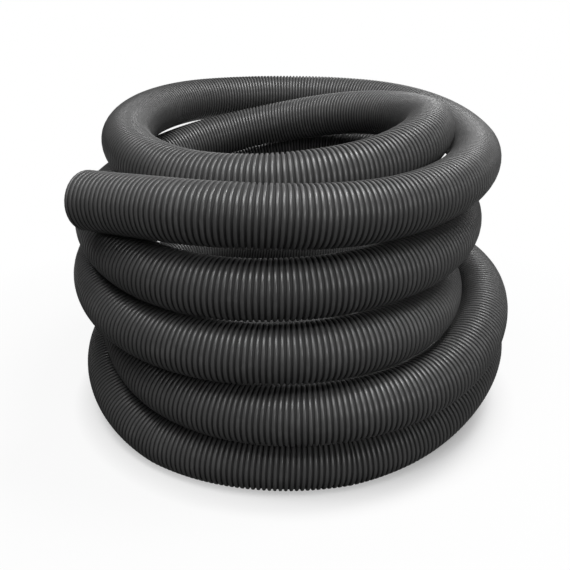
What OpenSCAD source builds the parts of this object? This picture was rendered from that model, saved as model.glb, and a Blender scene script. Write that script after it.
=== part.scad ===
// Spiral-ribbed vacuum hose, laid down as a free-standing coil of five and two
// thirds turns. +Z is up and -Y is the front. The origin is on the floor, under
// the middle of the coil. The hose is one length, cut square at both ends, with
// no cuffs. Its long curved run is one unbroken tube, and the last stretch at
// each cut is straight and has an exact bore, where a cuff, a spigot or a joiner
// is pushed in.

/* [Hose] */
// Inside diameter of the hose
bore_d = 38; // [30:0.5:50]
// Thickness of the wall between two ribs
wall_t = 2; // [1.2:0.1:3]
// Height of a rib above the wall
rib_h = 1.5; // [1:0.1:3]
// Distance from one rib to the next, at the cut ends
rib_pitch = 3.9; // [3:0.1:6]
// Width of a rib where it leaves the wall
rib_foot = 2.6; // [1.2:0.1:2.8]
// Width of the rounded-off top of a rib
rib_crest = 1.2; // [0.4:0.1:1.2]

/* [Ends] */
// Ribs on each straight cut end
end_ribs = 12; // [6:1:16]
// Straight lead between a cut end and the first bend
lead_l = 20; // [12:1:40]

/* [Coil] */
// Mean radius of the coil, to the centreline of the hose
coil_r = 166.5; // [160:0.5:300]
// Ribs on the coiled run, which are coarser than those on the cut ends
coil_ribs = 176; // [120:4:176]
// How far the wall is pressed flat on the floor, under its flattened ribs
floor_press = 0.2; // [0.1:0.1:0.8]

/* [Hidden] */

hose_d = bore_d + 2 * (wall_t + rib_h);
wall_r = bore_d / 2 + wall_t;
end_l = end_ribs * rib_pitch;
hose_colour = "#4d4e50";

// The lay of the coil, from its top turn down. Each row is one turn and each
// column one of six places round it: front left, front right, right, back
// right, back left and left. The unit is the diameter of the hose, so the turns
// rest on each other at any size.
step_a = 60;
start_a = -30;
// Distance outside (+) or inside (-) the mean radius
lay_out = [
    [0.20, -0.10, 0.18, 0.74, 0.38, -0.44],
    [-0.82, -1.04, -0.78, -0.80, -0.30, 0.02],
    [0.14, -0.08, -0.16, -0.02, 0.12, 0.22],
    [0.26, 0.06, -0.68, -0.82, -0.70, -0.36],
    [0.12, 0.50, 0.58, 0.80, 0.52, 0.28],
    [0.16, 0.22, 0.70, 0.88, 0.90]
];
// Height of the centreline above the floor
lay_up = [
    [4.76, 4.74, 5.38, 6.20, 6.22, 5.58],
    [5.04, 5.20, 5.82, 5.90, 5.32, 4.40],
    [3.62, 3.68, 4.28, 4.94, 4.20, 3.26],
    [2.58, 2.62, 2.96, 2.36, 2.50, 2.32],
    [1.50, 1.66, 2.50, 2.70, 2.04, 1.10],
    [0.40, 0.52, 1.32, 0.40, 0.51]
];
out_at = [for (turn = lay_out) each turn];
up_at = [for (turn = lay_up) each turn];
last = len(out_at) - 1;

// The hose lies on one flat of its eight sides, with ribs and wall pressed level
sides = 8;
rest_h = wall_r * cos(180 / sides) - floor_press;

// Smooth curve through evenly spaced values v, at place t; straight past its ends
function value(v, k) =
    k < 0 ? 2 * v[0] - v[1] : k > last ? 2 * v[last] - v[last - 1] : v[k];
function blend(a, b, c, d, u) =
    b + u * (c - a) / 2 + u * u * (a - 2.5 * b + 2 * c - d / 2)
    + u * u * u * (1.5 * (b - c) + (d - a) / 2);
function along(v, t) =
    let (k = max(0, min(floor(t), last - 1)))
    blend(value(v, k - 1), value(v, k), value(v, k + 1), value(v, k + 2), t - k);

// Centreline of the coiled run at place t, from 0 at the top to last at the
// floor: first round the axis that the hose was wound about, then with the
// middle of the coil's extent over the origin
function wound(t) =
    let (r = coil_r + hose_d * along(out_at, t), a = start_a + step_a * t)
    [r * sin(a), -r * cos(a), max(rest_h, hose_d * along(up_at, t))];
places = [for (t = [0:0.1:last]) wound(t)];
function middle(v) = (min(v) + max(v)) / 2;
centre = [middle([for (p = places) p.x]), middle([for (p = places) p.y]), 0];
function spot(t) = wound(t) - centre;

// Length along the curve at each place, from the top, and its inverse
function unit(v) = v / norm(v);
walk = 0.1;
steps = round(last / walk);
marks = [for (i = 0, s = 0; i <= steps; i = i + 1, s = s + norm(spot(i * walk) - spot((i - 1) * walk))) [s, i * walk]];
curve_l = marks[steps][0];
top_dir = unit(spot(0) - spot(0.01));
floor_dir = unit(spot(last) - spot(last - 0.01));

// Centreline at length s from the first bend, with a straight lead at each end
function run(s) =
    s < 0 ? spot(0) - s * top_dir
    : s > curve_l ? spot(last) + (s - curve_l) * floor_dir
    : spot(lookup(s, marks));
run_l = curve_l + 2 * lead_l;
hose_l = run_l + 2 * end_l;
top_cut = run(-lead_l);
floor_cut = run(curve_l + lead_l);

// Ring of points round the centreline at s, pressed flat where it meets the floor
function heading(s) = unit(run(s + 1) - run(s - 1));
function ring(s, r) =
    let (h = heading(s), n = unit(cross(h, [0, 0, 1])), u = cross(n, h), c = run(s))
    [for (i = [0:sides - 1])
        let (a = 180 / sides + 360 / sides * i, p = c + r * (cos(a) * n + sin(a) * u))
        [p.x, p.y, max(0, p.z)]];

// Triangles between ring j and ring j + 1 of a tube whose points start at base
function band(base, j, out) =
    [for (i = [0:sides - 1])
        let (a = base + j * sides + i, b = base + j * sides + (i + 1) % sides, c = a + sides, d = b + sides)
        each out ? [[a, b, d], [a, d, c]] : [[a, d, b], [a, c, d]]];
// Triangles that close one end between the outer ring at a and the bore ring at b
function rim(a, b, first) =
    [for (i = [0:sides - 1])
        let (j = (i + 1) % sides)
        each first ? [[a + i, b + i, b + j], [a + i, b + j, a + j]] : [[a + i, b + j, b + i], [a + i, a + j, b + j]]];

// The coiled run: a rib is a high ring between two low ones, and the bore has a
// ring at each low one
rib_l = run_l / coil_ribs;
outer = [for (j = [0:2 * coil_ribs]) each ring(j * rib_l / 2 - lead_l, j % 2 == 0 ? wall_r : hose_d / 2)];
inner = [for (j = [0:coil_ribs]) each ring(j * rib_l - lead_l, bore_d / 2)];
inner_at = len(outer);

module hose_coil() {
    color(hose_colour)
        polyhedron(
            points = concat(outer, inner),
            faces = [
                for (j = [0:2 * coil_ribs - 1]) each band(0, j, true),
                for (j = [0:coil_ribs - 1]) each band(inner_at, j, false),
                each rim(0, inner_at, true),
                each rim(inner_at - sides, inner_at + sides * coil_ribs, false)
            ]
        );
}

// Half section of a straight cut end, with its ribs at their true pitch
function end_section() = [
    [bore_d / 2, 0],
    [wall_r, 0],
    for (k = [0:end_ribs - 1])
        let (y = (k + 0.5) * rib_pitch)
        each [
            [wall_r, y - rib_foot / 2],
            [hose_d / 2, y - rib_crest / 2],
            [hose_d / 2, y + rib_crest / 2],
            [wall_r, y + rib_foot / 2]
        ],
    [wall_r, end_l],
    [bore_d / 2, end_l]
];

// A straight cut end that starts at the point at and runs along the unit vector dir
module cut_end(at, dir) {
    color(hose_colour)
        translate(at)
            rotate([0, acos(dir.z), atan2(dir.y, dir.x)])
                rotate_extrude($fn = 64)
                    polygon(end_section());
}

module top_end() {
    cut_end(top_cut, top_dir);
}

module floor_end() {
    cut_end(floor_cut, floor_dir);
}

// Least gap from the hose to itself, from each point of the centreline to each
// stretch of it that is more than two diameters further on
spacing = 12;
posts = [for (i = [0:floor(run_l / spacing)]) run(i * spacing - lead_l)];
apart = ceil(2 * hose_d / spacing);
function to_stretch(p, a, b) =
    let (d = b - a, f = max(0, min(1, (p - a) * d / (d * d))))
    norm(p - a - f * d);
least_gap = min([
    for (i = [0:len(posts) - apart - 2])
        min([for (j = [i + apart:len(posts) - 2]) to_stretch(posts[i], posts[j], posts[j + 1])])
]) - hose_d;

echo(str("Hose length, end to end: ", hose_l, " mm"));
echo(str("Least gap of the hose to itself: ", least_gap, " mm"));
echo(str("Top cut at ", top_cut + end_l * top_dir, " facing ", top_dir));
echo(str("Floor cut at ", floor_cut + end_l * floor_dir, " facing ", floor_dir));

hose_coil();
top_end();
floor_end();
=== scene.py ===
# %% [markdown]
# # A coiled vacuum hose in ribbed plastic
#
# The object is one length of spiral-ribbed suction hose, left standing as a
# loose coil of five and two thirds turns. It has a smooth inner tube, and round
# that a strip of plastic is wound edge to edge. The strip carries one rounded
# rib, so the finished hose has a single rib that runs round it like the thread
# of a screw.
#
# This lesson builds it in the same order: the line that the hose lies on, the
# inner tube, the wound strip, the plastic, and at last the studio. Every shape
# is a function of two parameters, worked out with numpy for all points at once.
#
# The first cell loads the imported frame. All lengths are in metres, +Z is up and
# the front faces -Y.

import math

import bpy
import numpy as np
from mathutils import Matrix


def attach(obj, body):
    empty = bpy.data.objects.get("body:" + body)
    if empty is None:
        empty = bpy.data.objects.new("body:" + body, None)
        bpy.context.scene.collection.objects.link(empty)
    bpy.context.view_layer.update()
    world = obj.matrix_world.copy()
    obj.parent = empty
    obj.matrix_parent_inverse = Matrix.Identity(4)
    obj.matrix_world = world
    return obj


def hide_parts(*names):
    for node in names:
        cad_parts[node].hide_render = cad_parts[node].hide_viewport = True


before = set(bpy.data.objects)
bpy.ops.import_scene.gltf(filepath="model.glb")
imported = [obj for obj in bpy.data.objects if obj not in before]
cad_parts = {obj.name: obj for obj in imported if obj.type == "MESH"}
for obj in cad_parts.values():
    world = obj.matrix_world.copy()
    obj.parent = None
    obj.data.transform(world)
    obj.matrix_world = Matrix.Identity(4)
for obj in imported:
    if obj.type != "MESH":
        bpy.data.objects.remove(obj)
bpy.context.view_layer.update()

# %% [markdown]
# ## The sizes of the hose
#
# A suction hose is named by its bore, here 38 mm, because that is what a cuff is
# pushed into. Wall and rib make it 45 mm outside. The ribs sit 3.9 mm apart,
# which is close enough for the hose to hold its round shape in a tight bend.

# %% Sizes of the hose
BORE_R = 0.019
LINER_R = 0.020
WALL_R = 0.021
CREST_R = 0.0225
HOSE_D = 2 * CREST_R
RIB_PITCH = 0.0039
LEAD = 0.020
CUT_END = 0.0468
COIL_R = 0.1665
FLOOR_PRESS = 0.0002
# The solid model lies on one flat of its eight sides, pressed down a little
REST_H = WALL_R * math.cos(math.pi / 8) - FLOOR_PRESS
print("hose diameter", HOSE_D, "m, lowest centreline", round(REST_H, 5), "m")

# %% [markdown]
# ## The line that the hose lies on
#
# A loose coil is not a clean spiral: each turn slides in or out and rests on the
# one below where it can. So the lay is a table. Six places round each turn say
# how far the centreline is outside the mean radius, and how high it is above the
# floor. Both are counted in hose diameters, because two stretches of hose touch
# exactly when their centrelines are one diameter apart.
#
# Between the places a Catmull-Rom curve gives a smooth bend that passes through
# every one of them. It needs only the two values before and the two after.

# %% The lay table and its smooth curve
LAY_OUT = np.array([
    0.20, -0.10, 0.18, 0.74, 0.38, -0.44, -0.82, -1.04, -0.78, -0.80, -0.30, 0.02,
    0.14, -0.08, -0.16, -0.02, 0.12, 0.22, 0.26, 0.06, -0.68, -0.82, -0.70, -0.36,
    0.12, 0.50, 0.58, 0.80, 0.52, 0.28, 0.16, 0.22, 0.70, 0.88, 0.90,
])
LAY_UP = np.array([
    4.76, 4.74, 5.38, 6.20, 6.22, 5.58, 5.04, 5.20, 5.82, 5.90, 5.32, 4.40,
    3.62, 3.68, 4.28, 4.94, 4.20, 3.26, 2.58, 2.62, 2.96, 2.36, 2.50, 2.32,
    1.50, 1.66, 2.50, 2.70, 2.04, 1.10, 0.40, 0.52, 1.32, 0.40, 0.51,
])
LAST = len(LAY_OUT) - 1


def smooth_through(values, t):
    """Curve through evenly spaced values, at place t from 0 to their number less
    one. With neighbours a, b, c, d and u the way from b to c, it is b plus u
    times half of (c - a), plus u squared times (a - 2.5b + 2c - d/2), plus u
    cubed times (1.5(b - c) + (d - a)/2)."""
    v = np.concatenate([[2 * values[0] - values[1]], values, [2 * values[-1] - values[-2]]])
    k = np.clip(np.floor(t), 0, len(values) - 2).astype(int)
    u = t - k
    a, b, c, d = v[k], v[k + 1], v[k + 2], v[k + 3]
    return (
        b
        + u * (c - a) / 2
        + u**2 * (a - 2.5 * b + 2 * c - d / 2)
        + u**3 * (1.5 * (b - c) + (d - a) / 2)
    )


def wound(t):
    """Centreline round the axis that the hose was wound about: the angle grows by
    60 degrees a place from the front left, the radius is the mean radius plus the
    table's value, and the height is the table's, but never below the floor."""
    r = COIL_R + HOSE_D * smooth_through(LAY_OUT, t)
    a = np.radians(-30 + 60 * t)
    z = np.maximum(REST_H, HOSE_D * smooth_through(LAY_UP, t))
    return np.stack([r * np.sin(a), -r * np.cos(a), z], axis=1)


marks = wound(np.arange(0, 10 * LAST + 1) / 10)
CENTRE = np.array([*(marks.min(0) + marks.max(0))[:2] / 2, 0])
print("the middle of the coil is", np.round(CENTRE[:2] * 1000, 2), "mm off its axis")

# %% [markdown]
# The wound line gets a straight stretch at each end, where the cut ends are, and
# is then measured. `route` gives the point at any length along the hose. A small
# step forward and back gives the heading, and two directions square to it: one
# level, one as near to upright as the heading allows. They never spin round the
# hose, so the rib is free to do its own turning.

# %% Length along the hose, and the directions across it
places = np.linspace(0, LAST, 200 * LAST + 1)
bends = wound(places) - CENTRE


def unit(v):
    """Each row divided by its own length."""
    return v / np.linalg.norm(v, axis=-1, keepdims=True)


straight = np.linspace(0, LEAD + CUT_END, 30)[1:, None]
top_way = unit(bends[0] - bends[1])
floor_way = unit(bends[-1] - bends[-2])
LINE = np.concatenate([
    (bends[0] + straight * top_way)[::-1], bends, bends[-1] + straight * floor_way
])
AT = np.concatenate([[0], np.cumsum(np.linalg.norm(np.diff(LINE, axis=0), axis=1))])
LENGTH = float(AT[-1])


def route(s):
    """Point on the centreline at length s from the top cut."""
    return np.stack([np.interp(s, AT, LINE[:, i]) for i in range(3)], axis=-1)


def across(s):
    """Level direction n and upright direction u, both square to the heading h: n
    is h cross +Z, and u is n cross h. The heading is taken over 4 mm."""
    a = np.clip(s - 0.002, 0, LENGTH)
    b = np.clip(s + 0.002, 0, LENGTH)
    h = unit(route(b) - route(a))
    n = unit(np.cross(h, [0.0, 0.0, 1.0]))
    return n, np.cross(n, h)


SOFTNESS = 0.0015


def on_hose(s, angle, radius):
    """Points at that angle and radius round the centreline at s. Where the hose
    lies on the floor it flattens softly: a height z becomes half of z plus half
    the square root of z squared plus SOFTNESS squared, which is never below
    zero."""
    n, u = across(s)
    p = route(s) + radius[..., None] * (
        np.cos(angle)[..., None] * n + np.sin(angle)[..., None] * u
    )
    p[..., 2] = 0.5 * (p[..., 2] + np.sqrt(p[..., 2] ** 2 + SOFTNESS**2))
    return p


print("the hose is", round(LENGTH, 3), "m long and has", round(LENGTH / RIB_PITCH), "ribs")

# %% [markdown]
# ## Looking at it
#
# The camera comes before the surfaces, so that each of them can be judged from
# the right side as soon as it exists. It stands a little over half a metre in
# front of the coil's middle and looks down at twenty degrees. So near, the front
# turns come out clearly larger than the back ones.

# %% Camera
MIDDLE = (0, 0, 0.15)
EYE = (-0.01214, -0.53844, 0.29484)
YAW, PITCH = math.radians(0.271), math.radians(20.118)
camera_data = bpy.data.cameras.new("hose_view")
camera_data.sensor_width = 36
camera_data.lens = 34.41
camera_data.clip_start = 0.01
camera = bpy.data.objects.new("hose_view", camera_data)
camera.location = EYE
camera.rotation_euler = (math.pi / 2 - PITCH, 0, -YAW)
bpy.context.scene.collection.objects.link(camera)
bpy.context.scene.camera = camera
print("the camera stands", round(math.dist(EYE, MIDDLE), 3), "m from its middle")

# %% [markdown]
# ## From a grid of points to a mesh
#
# All the surfaces of the hose are grids, so one helper is enough. A grid gives
# its points, and for each face the four points at its corners. The direction
# that the surface faces is worked out once over the whole hose, before it is
# parted into turns, so no seam shows where two pieces meet. Only the knife cuts
# keep a direction of their own, which leaves their edges crisp.

# %% Which way a surface faces
def face_normals(points, quads):
    """For each face, the cross product of its two diagonals, whose length is twice
    the area of the face."""
    d1 = points[quads[:, 2]] - points[quads[:, 0]]
    d2 = points[quads[:, 3]] - points[quads[:, 1]]
    return np.cross(d1, d2)


def point_normals(points, quads):
    """For each point, the sum of the normals of the faces that meet there, made
    one long."""
    facing = face_normals(points, quads)
    total = np.zeros_like(points)
    for corner in range(4):
        for axis in range(3):
            total[:, axis] += np.bincount(
                quads[:, corner], weights=facing[:, axis], minlength=len(points)
            )
    return total / np.maximum(np.linalg.norm(total, axis=1, keepdims=True), 1e-12)


# %% From arrays to a mesh object
def make_piece(name, points, quads, normals, cut, bake_at, values):
    """A mesh object with the given faces and only the points that they use. The
    faces marked in cut keep their own flat normal. bake_at is a place on a flat
    sheet for each corner of each face, and each array in values becomes a number
    on every point. A corner that is the same point as the one before it goes, so
    a face that was pinched to a triangle is one."""
    keep = quads != np.roll(quads, 1, axis=1)
    real = keep.sum(1) >= 3
    keep, quads, cut, bake_at = keep[real], quads[real], cut[real], bake_at[real]
    flat = face_normals(points, quads)
    flat /= np.maximum(np.linalg.norm(flat, axis=1, keepdims=True), 1e-12)
    corner_normals = np.where(cut[:, None, None], flat[:, None], normals[quads])[keep]
    used, loops = np.unique(quads[keep], return_inverse=True)
    sizes = keep.sum(1)

    mesh = bpy.data.meshes.new(name)
    mesh.vertices.add(len(used))
    mesh.vertices.foreach_set("co", points[used].ravel().astype(np.float32))
    mesh.loops.add(len(loops))
    mesh.loops.foreach_set("vertex_index", loops.ravel().astype(np.int32))
    mesh.polygons.add(len(sizes))
    mesh.polygons.foreach_set("loop_start", (np.cumsum(sizes) - sizes).astype(np.int32))
    mesh.polygons.foreach_set("use_smooth", np.ones(len(sizes), bool))
    sheet = mesh.uv_layers.new(name="OFBake")
    sheet.uv.foreach_set("vector", bake_at[keep].ravel().astype(np.float32))
    for label, value in values.items():
        layer = mesh.attributes.new(label, "FLOAT", "POINT")
        layer.data.foreach_set("value", value[used].astype(np.float32))
    mesh.update(calc_edges=True)
    if mesh.validate(clean_customdata=False):
        print(name, "had faces that Blender mended")
    mesh.normals_split_custom_set(corner_normals.astype(np.float32))
    piece = bpy.data.objects.new(name, mesh)
    bpy.context.scene.collection.objects.link(piece)
    print(name, len(mesh.vertices), "points,", int((sizes - 2).sum()), "triangles")
    return piece


# %% [markdown]
# A finish can be baked to a picture later, for use outside Blender. That needs
# every face to have a place of its own on a flat sheet. The skin of a hose
# unrolls by itself: the way along the hose runs across the sheet and the angle
# runs up it. Six metres would make a thread, so the unrolled skin is cut into
# rows that lie one above the other.

# %% Unrolling the skin onto a sheet
MARGIN = 0.02


def unrolled(way, turned, start, per_row, rows, lean=1):
    """Place on the sheet for corners at way and turned, both counted in whole
    steps. The row is the whole part of (start of the face less the first start)
    over the steps in a row. Across is the way that is left, over a row's length
    with its lean, and up is the row plus the turn, over the number of rows. The
    turn leaves a margin above and below in its row."""
    row = np.floor((start - start.min()) / per_row)
    first = start.min() + row * per_row
    x = (way - first[:, None]) / (per_row + lean)
    y = (row[:, None] + MARGIN + (1 - 2 * MARGIN) * turned) / rows
    return np.stack([x, y], axis=2)


# %% [markdown]
# ## The inner tube
#
# The bore has to be smooth, so that nothing catches in it. It is a plain tube
# with a thin wall, swept along the route. Its grid runs down the outside, over
# the rim of the floor cut, and home through the bore, and the last row joins the
# first. That makes a closed wall with no separate ends to stitch.

# %% The inner tube
ROUND = 36
RINGS = 1028
ROW_RINGS = 86


def sweep_liner():
    """Grid (i, j): i counts the rings, first from the top cut to the floor cut at
    the outer radius and then back at the bore radius, and j the places round a
    ring. The angle is a full turn times j over their number."""
    s = np.linspace(0, LENGTH, RINGS)
    s = np.concatenate([s, s[::-1]])
    r = np.where(np.arange(2 * RINGS) < RINGS, LINER_R, BORE_R)
    grid = (2 * RINGS, ROUND)
    points = on_hose(
        np.broadcast_to(s[:, None], grid),
        np.broadcast_to(np.arange(ROUND) * 2 * np.pi / ROUND, grid),
        np.broadcast_to(r[:, None], grid),
    ).reshape(-1, 3)
    i, j = np.meshgrid(np.arange(2 * RINGS), np.arange(ROUND), indexing="ij")
    i, j = i.ravel(), j.ravel()
    corners_i = np.stack([i, i + 1, i + 1, i], axis=1)
    corners_j = np.stack([j, j, j + 1, j + 1], axis=1)
    quads = corners_i % (2 * RINGS) * ROUND + corners_j % ROUND
    rim = (i == RINGS - 1) | (i == 2 * RINGS - 1)
    rows = math.ceil(2 * RINGS / ROW_RINGS)
    bake_at = unrolled(corners_i, corners_j / ROUND, i, ROW_RINGS, rows, lean=0)
    return points, quads, rim, bake_at, np.repeat(s, ROUND)


liner_points, liner_quads, liner_rim, liner_sheet, liner_s = sweep_liner()
liner_normals = point_normals(liner_points, liner_quads[~liner_rim])
outer = slice(0, RINGS * ROUND)
away = (liner_points - route(liner_s))[outer]
outward = (liner_normals[outer] * away).sum(1) > 0
print(round(100 * outward.mean(), 2), "percent of its outside faces outwards")
hose_liner = make_piece(
    "hose_liner",
    liner_points,
    liner_quads,
    liner_normals,
    liner_rim,
    liner_sheet,
    {"along": liner_s},
)

# %% [markdown]
# ## The wound strip and its rib
#
# The ribs could be rings, each one a copy of the last. A wound strip is closer to
# how such a hose is made and costs no more: one long ribbon that carries the rib
# and a flat valley beside it. It follows a helix that gains one rib pitch for
# each trip round the hose, so the far edge of one trip lands exactly on the near
# edge of the next. Those edge points are shared, and the skin is one sheet.

# %% Cross-section of the strip
# Way across the strip as a share of the pitch, and height as a share of the rib
RIB_SECTION = np.array([
    (0.000, 0.00), (0.020, 0.36), (0.070, 0.70), (0.145, 0.92), (0.250, 0.99),
    (0.440, 0.99), (0.545, 0.92), (0.620, 0.70), (0.670, 0.36), (0.690, 0.00),
])
ACROSS = len(RIB_SECTION)
TRIPS = int(LENGTH / RIB_PITCH) + 2


def rib_height(share):
    """Height from 0 in the valley to nearly 1 on the crest, at a share of the way
    across the strip, by straight lines between the points of the section."""
    return np.interp(share % 1, [*RIB_SECTION[:, 0], 1], [*RIB_SECTION[:, 1], 0])


print("the rib is", round(RIB_SECTION[-1, 0] * RIB_PITCH * 1000, 2), "mm wide at its foot")

# %% [markdown]
# Both ends of the hose are cut square with a knife, straight through the ribs.
# Points that would lie beyond a cut move back to it along the hose, and take the
# height that the rib has there. All the points at one angle then fall on one
# spot of the cut edge, so they share a single number, and a flat ring closes the
# cut from that edge to the inner tube.

# %% The points of the strip
def wind_strip():
    """Grid (i, j): i counts the steps along the helix, ROUND of them to a trip,
    and j the places across the strip. The length along the hose is the pitch
    times the sum of i/ROUND and the place across, the angle is a full turn times
    i/ROUND, and the radius grows from wall to crest with the rib's height."""
    i = np.arange(-ROUND, TRIPS * ROUND + 1)
    s = RIB_PITCH * (i[:, None] / ROUND + RIB_SECTION[:, 0])
    held = np.clip(s, 0, LENGTH)
    height = rib_height((held / RIB_PITCH) - (i / ROUND)[:, None])
    angle = np.broadcast_to((i * 2 * np.pi / ROUND)[:, None], s.shape)
    points = on_hose(held, angle, WALL_R + (CREST_R - WALL_R) * height)
    number = np.arange(s.size).reshape(s.shape)
    spot = np.broadcast_to((i % ROUND)[:, None], s.shape)
    edges = []
    for beyond in (s <= 0, s >= LENGTH):
        edge = np.zeros(ROUND, int)
        edge[spot[beyond]] = number[beyond]
        number[beyond] = edge[spot[beyond]]
        edges.append(edge)
    return points.reshape(-1, 3), number, edges, height.ravel(), held.ravel()


strip_points, strip_number, cut_edges, strip_rise, strip_s = wind_strip()
print(len(strip_points), "points on the strip,", TRIPS, "trips round the hose")


# %% The faces of the strip
def join_strip():
    """Faces between neighbouring points of the grid. Past the last place across,
    they reach the first place one trip further on, and that closes the helix.
    Their place on the sheet leans, because the strip gains a pitch in a trip."""
    number = np.concatenate([strip_number[:-ROUND], strip_number[ROUND:, :1]], axis=1)
    share = np.concatenate([RIB_SECTION[:, 0], [1]])
    rows, places = len(number) - 1, ACROSS
    quads = np.stack(
        [number[:-1, :-1], number[:-1, 1:], number[1:, 1:], number[1:, :-1]], axis=2
    )
    i = np.broadcast_to(np.arange(rows)[:, None], (rows, places)).ravel()
    j = np.broadcast_to(np.arange(places), (rows, places)).ravel()
    step = i[:, None] + np.array([0, 0, 1, 1])
    way = step / ROUND + share[j[:, None] + np.array([0, 1, 1, 0])]
    turned = (i % ROUND)[:, None] / ROUND + np.array([0, 0, 1, 1]) / ROUND
    return quads.reshape(-1, 4), i // ROUND, way, turned


strip_quads, strip_trip, strip_way, strip_turned = join_strip()
strip_normals = point_normals(strip_points, strip_quads)
away = strip_points - route(strip_s)
used = np.unique(strip_quads)
outward = (strip_normals[used] * away[used]).sum(1) > 0
print(round(100 * outward.mean(), 2), "percent of the skin's points face outwards")

# %% [markdown]
# Six metres of skin would be one very heavy mesh, so it is parted into six
# lengths, each about one turn of the coil. They meet along the foot of the rib,
# and the points of both edges have the same places and normals, so that nothing
# of it shows. The first and last get the flat ring that closes the knife cut.

# %% The six lengths of skin and the two cuts
TURNS = 6
ROW_TRIPS = 23


def cut_ring(edge, s, way_out):
    """Flat ring between the points of a cut edge and a circle at the radius of the
    inner tube: for each angle one face from the edge inwards."""
    angle = np.arange(ROUND) * 2 * np.pi / ROUND
    circle = on_hose(np.full(ROUND, s), angle, np.full(ROUND, LINER_R))
    j, k = np.arange(ROUND), (np.arange(ROUND) + 1) % ROUND
    inner = j + len(strip_points) + (ROUND if s > 0 else 0)
    quads = np.stack([edge[j], edge[k], inner[k], inner[j]], axis=1)
    every = np.concatenate([strip_points, circle, circle])
    if (face_normals(every, quads)[0] * way_out).sum() < 0:
        quads = quads[:, ::-1]
    return circle, quads


top_circle, top_quads = cut_ring(cut_edges[0], 0, top_way)
floor_circle, floor_quads = cut_ring(cut_edges[1], LENGTH, floor_way)
skin_points = np.concatenate([strip_points, top_circle, floor_circle])
skin_normals = np.concatenate([strip_normals, np.zeros((2 * ROUND, 3))])
skin_rise = np.concatenate([strip_rise, np.zeros(2 * ROUND)])
skin_s = np.concatenate([strip_s, np.zeros(ROUND), np.full(ROUND, LENGTH)])

turns = []
for turn in range(TURNS):
    mine = strip_trip * TURNS // (TRIPS + 1) == turn
    quads, flat = strip_quads[mine], np.zeros(mine.sum(), bool)
    trips = strip_trip[mine]
    rows = int(np.ceil((trips.max() - trips.min() + 1) / ROW_TRIPS))
    sheet_rows = rows + 1
    bake_at = unrolled(
        strip_way[mine], strip_turned[mine], trips, ROW_TRIPS, sheet_rows
    )
    ring = {0: top_quads, TURNS - 1: floor_quads}.get(turn)
    if ring is not None:
        spread = (np.arange(ROUND)[:, None] + np.array([0, 1, 1, 0])) / ROUND
        height = (rows + np.array([0.2, 0.2, 0.8, 0.8])) / sheet_rows
        height = np.broadcast_to(height, spread.shape)
        quads = np.concatenate([quads, ring])
        flat = np.concatenate([flat, np.ones(ROUND, bool)])
        bake_at = np.concatenate([bake_at, np.stack([spread, height], axis=2)])
    turns.append(make_piece(
        f"hose_turn_{turn + 1}", skin_points, quads, skin_normals, flat, bake_at,
        {"rise": skin_rise, "along": skin_s},
    ))

# %% [markdown]
# ## The plastic
#
# Suction hose is blown and wound from soft dark grey plastic. Two things give it
# away: the crests are lighter and have a soft shine, and the valleys are dull
# and nearly black, a painted shade of the deep grooves between the ribs. Under
# that lies a faint cloudiness from the melt, and a grain too fine to see except
# where it breaks up a highlight. Where the hose has been dragged, its crests are
# scuffed in short patches.
#
# Both materials of the hose need those three, so they come from one shader node
# group with a size for each as its inputs. A few helpers come first: they keep
# the wiring of the nodes as short as the sums that it stands for.

# %% Small helpers for node trees
def node(tree, kind, *inputs, sockets=(), **settings):
    """Adds a node with these settings. Its inputs take the values in order, and
    those in sockets go to the input of that name or number. A value that is a
    socket is linked, and any other is set."""
    made = tree.nodes.new(kind)
    for key, value in settings.items():
        setattr(made, key, value)
    for socket, value in [*enumerate(inputs), *dict(sockets).items()]:
        if isinstance(value, bpy.types.NodeSocket):
            tree.links.new(value, made.inputs[socket])
        else:
            made.inputs[socket].default_value = value
    return made


def maths(tree, operation, *inputs, **settings):
    """What a Math node makes of its inputs."""
    made = node(tree, "ShaderNodeMath", *inputs, operation=operation, **settings)
    return made.outputs[0]


def ramp(tree, value, low, high, to_low=0.0, to_high=1.0, shape="LINEAR"):
    """The value's way from low to high, turned into a way from to_low to to_high,
    and held at both ends."""
    made = node(tree, "ShaderNodeMapRange", value, low, high, to_low, to_high,
                interpolation_type=shape)
    return made.outputs["Result"]


def new_material(name):
    """An empty material, its node tree and its Principled shader."""
    material = bpy.data.materials.new(name)
    material.use_nodes = True
    tree = material.node_tree
    return material, tree, tree.nodes["Principled BSDF"]


# %% A shader group for cloudiness, grain and scuffs
# Name of the size, features to a metre and detail, for each of the three noises
MELT_NOISES = (("Clouds", 14.0, 4), ("Grains", 1500.0, 2), ("Wears", 90.0, 6))
MELT_GIVES = ("Cloud", "Grain", "Scuff")
SCUFF_FROM, SCUFF_TO = 0.54, 0.68


def melt_group():
    """Group that gives Cloud, a slow mottle, Grain, a fine height, and Scuff, short
    patches, each from 0 to 1, by noise at the given number of features to a
    metre. Scuff is the third noise, taken from 0 at SCUFF_FROM to 1 at
    SCUFF_TO."""
    group = bpy.data.node_groups.new("plastic_melt", "ShaderNodeTree")

    def socket(name, way, kind):
        kind = "NodeSocket" + kind
        return group.interface.new_socket(name, in_out=way, socket_type=kind)

    socket("Place", "INPUT", "Vector")
    for size, features, _ in MELT_NOISES:
        socket(size, "INPUT", "Float").default_value = features
    for name in MELT_GIVES:
        socket(name, "OUTPUT", "Float")
    came, goes = node(group, "NodeGroupInput"), node(group, "NodeGroupOutput")
    noises = []
    for size, _, detail in MELT_NOISES:
        noise = node(group, "ShaderNodeTexNoise", sockets={
            "Vector": came.outputs["Place"], "Scale": came.outputs[size],
            "Detail": detail,
        })
        noises.append(noise.outputs["Fac"])
    noises[2] = ramp(group, noises[2], SCUFF_FROM, SCUFF_TO, shape="SMOOTHSTEP")
    for name, noise in zip(MELT_GIVES, noises):
        group.links.new(noise, goes.inputs[name])
    return group


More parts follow.
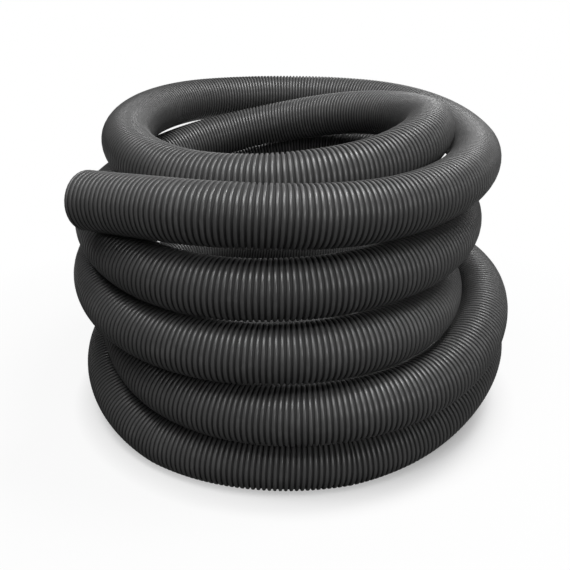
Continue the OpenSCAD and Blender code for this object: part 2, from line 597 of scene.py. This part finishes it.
melt = melt_group()
print("the group", melt.name, "gives", MELT_GIVES, "at sizes", MELT_NOISES)


# %% The plastic that both materials share
def melt_in(tree, sizes=()):
    """The group on the piece's own coordinates, with its sizes where they differ:
    the sockets of Cloud, Grain and Scuff."""
    place = node(tree, "ShaderNodeTexCoord").outputs["Object"]
    group = node(tree, "ShaderNodeGroup", place, sockets=sizes, node_tree=melt)
    return [group.outputs[name] for name in MELT_GIVES]


def mottle(tree, cloud, depth):
    """From 1 less the depth to 1 plus the depth, as the cloud goes from 0.3 to 0.7,
    between which nearly all of it lies."""
    return ramp(tree, cloud, 0.3, 0.7, 1 - depth, 1 + depth)


def coat(tree, shader, colour, shade, rough, height, depth):
    """Gives the shader its colour, which is multiplied by the shade, its roughness,
    and a bump of the height, at depth metres for each 1 of it."""
    tinted = node(tree, "ShaderNodeMix", sockets={"Factor": 1.0, 6: colour, 7: shade},
                  data_type="RGBA", blend_type="MULTIPLY")
    bump = node(tree, "ShaderNodeBump",
                sockets={"Strength": 0.3, "Distance": depth, "Height": height})
    tree.links.new(tinted.outputs[2], shader.inputs["Base Color"])
    tree.links.new(rough, shader.inputs["Roughness"])
    tree.links.new(bump.outputs["Normal"], shader.inputs["Normal"])


# %% [markdown]
# The skin's own height is stored on its points as `rise`. It does the work that
# a painted mask would do: it picks the colour between the crest and the nearly
# black valley, which is painted shade of the grooves, it says where the crests
# are rubbed smoother, and where a scuff can show. It also carries the die lines,
# the faint streaks that the nozzle leaves along a strip.

# %% The ribbed plastic of the skin
# The valley's nearly black colour is painted shade of the narrow grooves; the crest colour
# is the plastic's own.
VALLEY = (0.016, 0.016, 0.016, 1)
CREST = (0.092, 0.092, 0.092, 1)
VALLEY_ROUGH, CREST_ROUGH = 0.80, 0.38
CREST_FROM = 0.75
SCUFF_LIGHTER, SCUFF_ROUGHER = 0.2, 0.14
DIE_LINES, DIE_CHANGES, DIE_DEPTH = 14.0, 6.0, 1.5


def skin_material():
    """The crest share goes from 0 in the valley to 1 where the rise is CREST_FROM.
    Colour and roughness go with it from valley to crest: the far darker valley
    colour is painted shade of the groove, and the smoother crest is wear. The
    colour is then multiplied by a mottle of a tenth plus SCUFF_LIGHTER in a scuff,
    and the roughness gets 0.12 times the cloud less 0.07, and SCUFF_ROUGHER in a
    scuff. The bump is the grain plus DIE_DEPTH times the die lines. They are a
    noise on (DIE_LINES times the rise, DIE_CHANGES times the length along the hose),
    so each keeps its place on the rib."""
    material, tree, shader = new_material("ribbed_plastic")
    cloud, grain, scuff = melt_in(tree)
    rise, along = (
        node(tree, "ShaderNodeAttribute", attribute_name=name).outputs["Fac"]
        for name in ("rise", "along")
    )
    # Painted shade: this share darkens the valleys, and it also marks the crests for wear
    # and scuffs.
    crest_wear_and_valley_shade = ramp(tree, rise, 0.0, CREST_FROM, shape="SMOOTHSTEP")
    scuffed = maths(tree, "MULTIPLY", crest_wear_and_valley_shade, scuff)
    colour = node(tree, "ShaderNodeMix", sockets={"Factor": crest_wear_and_valley_shade, 6: VALLEY, 7: CREST},
                  data_type="RGBA").outputs[2]
    shade = maths(tree, "MULTIPLY_ADD", scuffed, SCUFF_LIGHTER, mottle(tree, cloud, 0.1))
    dull = ramp(tree, crest_wear_and_valley_shade, 0, 1, VALLEY_ROUGH, CREST_ROUGH)
    uneven = maths(tree, "MULTIPLY_ADD", cloud, 0.12, -0.07)
    worn = maths(tree, "MULTIPLY_ADD", scuffed, SCUFF_ROUGHER, uneven)
    up = maths(tree, "MULTIPLY", rise, DIE_LINES)
    on = maths(tree, "MULTIPLY", along, DIE_CHANGES)
    lines_at = node(tree, "ShaderNodeCombineXYZ", up, on).outputs[0]
    lines = node(tree, "ShaderNodeTexNoise",
                 sockets={"Vector": lines_at, "Scale": 1.0, "Detail": 3}).outputs["Fac"]
    relief = maths(tree, "MULTIPLY_ADD", lines, DIE_DEPTH, grain)
    rough = maths(tree, "ADD", dull, worn)
    coat(tree, shader, colour, shade, rough, relief, 0.00003)
    shader.inputs["Specular IOR Level"].default_value = 0.8
    return material


ribbed_plastic = skin_material()
for piece in turns:
    piece.data.materials.append(ribbed_plastic)
print(ribbed_plastic.name, "is on", len(turns), "pieces")


# %% The smooth plastic of the bore
def bore_material():
    """The valley colour with a wider mottle, and a roughness of 0.30 plus 0.15 of
    the cloud and 0.10 where the air has scoured it."""
    material, tree, shader = new_material("bore_plastic")
    cloud, grain, scuff = melt_in(tree, {"Clouds": 25.0, "Wears": 40.0})
    even = maths(tree, "MULTIPLY_ADD", cloud, 0.15, 0.3)
    rough = maths(tree, "MULTIPLY_ADD", scuff, 0.10, even)
    coat(tree, shader, VALLEY, mottle(tree, cloud, 0.15), rough, grain, 0.00002)
    return material


hose_liner.data.materials.append(bore_material())
print(hose_liner.active_material.name, "is on", hose_liner.name)

# %% [markdown]
# ## Telling the frame what the pieces are
#
# Every piece rides on the part's one body. The inner tube runs the whole length
# of the hose, and the six lengths of skin go with it. The solid parts of the
# imported model are hidden.

# %% Bodies, and the imported parts hidden
for piece in [hose_liner, *turns]:
    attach(piece, "root")
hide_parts("hose_coil", "top_end", "floor_end")

# %% [markdown]
# ## The studio
#
# Dark plastic is lit by what it reflects. A small lamp high on the right draws
# the bright band along the top of every turn. Two wide ones high in front carry
# that band on down to about the middle of the turn, and a weak one low on the
# right keeps what is below from going black. The last one stands at the back on
# the right, so that the far side is lit too.

# %% The lamps
# Name, place, aim, width, height and watts
LAMPS = (
    ("top_lamp", (0.4, -0.05, 1.35), (0.4, 0, 0.15), 0.4, 0.28, 8),
    ("high_front_lamp", (0, -0.88, 1.56), MIDDLE, 0.9, 0.35, 6),
    ("high_left_lamp", (-0.3, -0.48, 1.71), MIDDLE, 0.9, 0.35, 9.2),
    ("low_right_lamp", (0.82, -1.31, 0.77), MIDDLE, 0.9, 0.35, 5),
    ("back_lamp", (0.78, 1.11, 1.10), MIDDLE, 1.2, 0.5, 3.5),
)


def soft_lamp(name, place, aim, width, height, power):
    """A rectangular lamp at place, turned so that its -Z points at aim."""
    lamp = bpy.data.lights.new(name, "AREA")
    lamp.shape, lamp.size, lamp.size_y, lamp.energy = "RECTANGLE", width, height, power
    holder = bpy.data.objects.new(name, lamp)
    holder.location = place
    away = np.array(place, float) - aim
    tilt = math.atan2(math.hypot(away[0], away[1]), away[2])
    holder.rotation_euler = (tilt, 0, math.atan2(away[0], -away[1]))
    bpy.context.scene.collection.objects.link(holder)


for lamp in LAMPS:
    soft_lamp(*lamp)
print(len(LAMPS), "lamps give", round(sum(lamp[-1] for lamp in LAMPS), 1), "W in all")

# %% [markdown]
# The floor and the back of the room are white to the camera, and half as bright
# in reflections, while the light that they give is that of a dark room. The
# floor still takes the soft shadow of the coil, and inside the coil its paper is
# painted nearly black as a painted shade.

# %% Who sees the white
REFLECTED = 0.45


def seen_white(tree):
    """1 for rays from the camera, from a glossy surface or through glass, else 0,
    from the Light Path's three answers added up."""
    path = node(tree, "ShaderNodeLightPath")
    total = path.outputs["Is Camera Ray"]
    for also in ("Is Glossy Ray", "Is Transmission Ray"):
        total = maths(tree, "ADD", total, path.outputs[also], use_clamp=True)
    return total


def share_seen(tree, how_far_back, low, high):
    """All of the white for the camera. Other rays of seen_white get from none of it
    at low to the REFLECTED share at high, by how far back they look or land."""
    behind = ramp(tree, how_far_back, low, high, 0.0, REFLECTED)
    camera_ray = node(tree, "ShaderNodeLightPath").outputs["Is Camera Ray"]
    most = maths(tree, "MAXIMUM", camera_ray, behind)
    return maths(tree, "MULTIPLY", most, seen_white(tree))


# %% The white room
ROOM_LIGHT = 0.05
BACK_OF_ROOM = (0.37, 0.93, 0.0)


def studio_world():
    """The share of the white that is seen, and ROOM_LIGHT to all other rays. A
    ray's way back is its direction dot BACK_OF_ROOM."""
    world = bpy.data.worlds.new("white_room")
    world.use_nodes = True
    tree = world.node_tree
    background = tree.nodes["Background"]
    way = node(tree, "ShaderNodeTexCoord").outputs["Generated"]
    back = node(tree, "ShaderNodeVectorMath", way, BACK_OF_ROOM, operation="DOT_PRODUCT")
    seen = share_seen(tree, back.outputs["Value"], 0.7, 1.0)
    tree.links.new(ramp(tree, seen, 0, 1, ROOM_LIGHT, 1), background.inputs["Strength"])
    background.inputs["Color"].default_value = (1, 1, 1, 1)
    return world


bpy.context.scene.world = studio_world()
print("the room gives", ROOM_LIGHT, "of its white as light")

# %% The floor and its paper
FLOOR_R, FLOOR_CORNERS = 6, 96
FLOOR_LIGHT = 0.12
angle = np.arange(FLOOR_CORNERS) * 2 * np.pi / FLOOR_CORNERS
edge = FLOOR_R * np.stack([np.cos(angle), np.sin(angle), 0 * angle], axis=1)
floor_mesh = bpy.data.meshes.new("studio_floor")
floor_mesh.from_pydata(edge.tolist(), [], [list(range(FLOOR_CORNERS))])
studio_floor = bpy.data.objects.new("studio_floor", floor_mesh)
bpy.context.scene.collection.objects.link(studio_floor)


def paper_material():
    """Paper that takes shadows. To the camera it is mixed with a plain white glow:
    none of it inside the coil, nine tenths just outside, and all of it from six
    tenths of a metre out, by the distance from the middle. A glossy surface sees
    its share of the glow only on the half of the floor behind the coil. The
    paper's colour is white to the camera, but within the coil it is painted nearly
    black as a painted shade, where hardly any light gets down to it, and it is
    FLOOR_LIGHT to the light that it throws back."""
    paper, tree, plain = new_material("white_paper")
    plain.inputs["Roughness"].default_value = 0.9
    plain.inputs["Specular IOR Level"].default_value = 0.1
    place = node(tree, "ShaderNodeTexCoord").outputs["Object"]
    out = node(tree, "ShaderNodeVectorMath", place, operation="LENGTH").outputs["Value"]
    y = node(tree, "ShaderNodeSeparateXYZ", place).outputs["Y"]
    seen = share_seen(tree, y, 0.1, 0.6)
    # Painted shade: the paper's colour to the camera falls to nearly black inside the coil.
    paper_with_painted_shade = ramp(tree, out, 0.12, 0.19, 0.05, 0.9)
    tree.links.new(ramp(tree, seen, 0, 1, FLOOR_LIGHT, paper_with_painted_shade), plain.inputs["Base Color"])
    near = ramp(tree, out, 0.17, 0.23, 0.0, 0.9)
    far = ramp(tree, out, 0.3, 0.6, 0.0, 0.1)
    share = maths(tree, "MULTIPLY", maths(tree, "ADD", near, far), seen)
    glow = node(tree, "ShaderNodeEmission", (1, 1, 1, 1), 1.0).outputs["Emission"]
    mixed = node(tree, "ShaderNodeMixShader", share, plain.outputs["BSDF"], glow)
    tree.links.new(mixed.outputs["Shader"], tree.nodes["Material Output"].inputs["Surface"])
    return paper


floor_mesh.materials.append(paper_material())
bpy.context.scene.view_settings.view_transform = "Standard"
print("the floor is", 2 * FLOOR_R, "m across")
